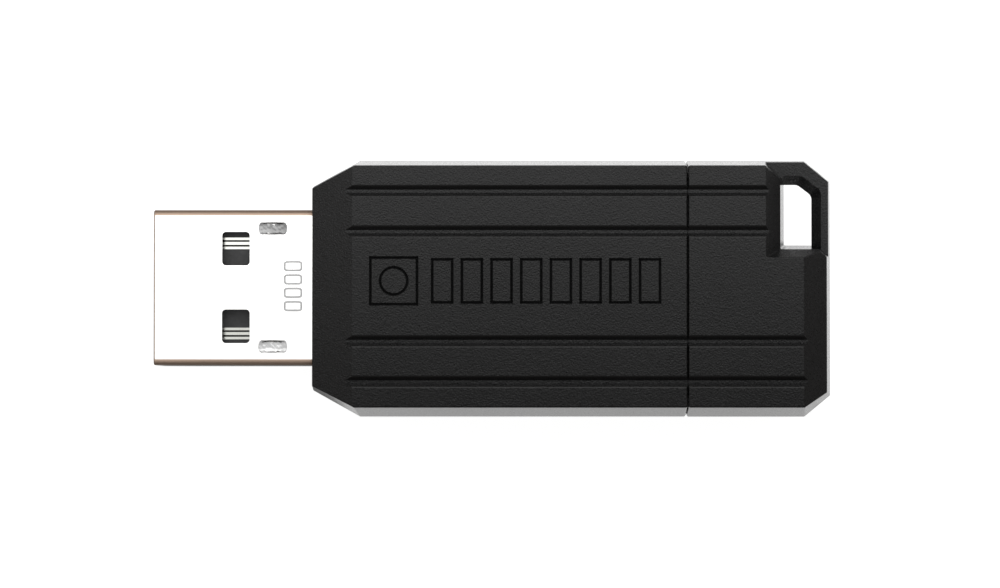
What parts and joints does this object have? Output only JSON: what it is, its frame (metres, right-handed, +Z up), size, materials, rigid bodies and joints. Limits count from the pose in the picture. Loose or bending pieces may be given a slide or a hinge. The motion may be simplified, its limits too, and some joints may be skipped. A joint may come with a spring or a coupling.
{
  "type": "usb flash drive",
  "caption": "Slim black flash drive with a faceted, pinstriped sleeve that slides forward over its plug, and a fixed end cap with a corner key loop.",
  "frame": {"origin": "centre of the whole drive's footprint with the plug out, on the surface that it lies on", "axes": "+Z up; X along the drive with the plug at -X and the end cap at +X; the key loop at the +X, +Y corner"},
  "size_m": [0.0524, 0.0198, 0.009],
  "materials": {
    "body_plastic": "fine spark-eroded texture, almost black",
    "carriage_plastic": "satin moulded, almost black",
    "plug_steel": "nickel plated, bright satin",
    "insulator_plastic": "plain moulded, black",
    "contact_metal": "thin gold flash over nickel",
    "board_laminate": "green solder mask",
    "chip_plastic": "moulded epoxy",
    "tinned_leads": "tin plated",
    "crystal_can": "plated can",
    "capacitor_ceramic": "fired ceramic with tinned ends",
    "resistor_ceramic": "black film with tinned ends",
    "solder": "reflowed solder"
  },
  "bodies": {
    "drive": {"end_cap_upper_shell": "body_plastic", "end_cap_lower_shell": "body_plastic", "carriage_tray": "carriage_plastic", "carriage_lid": "carriage_plastic", "plug_shell": "plug_steel", "plug_insulator": "insulator_plastic", "contact_power": "contact_metal", "contact_data_minus": "contact_metal", "contact_data_plus": "contact_metal", "contact_ground": "contact_metal", "circuit_board": "board_laminate", "memory_chip": "chip_plastic", "memory_chip_leads": "tinned_leads", "controller_chip": "chip_plastic", "controller_chip_leads": "tinned_leads", "clock_crystal": "crystal_can", "voltage_regulator": "chip_plastic", "capacitors": "capacitor_ceramic", "resistors": "resistor_ceramic", "solder_joints": "solder"},
    "sleeve": {"sleeve_upper_shell": "body_plastic", "sleeve_lower_shell": "body_plastic"}
  },
  "joints": [
    {"name": "sleeve_slide", "type": "slide", "parent": "drive", "child": "sleeve", "axis": [-1, 0, 0], "range_m": [0, 0.0128]}
  ]
}
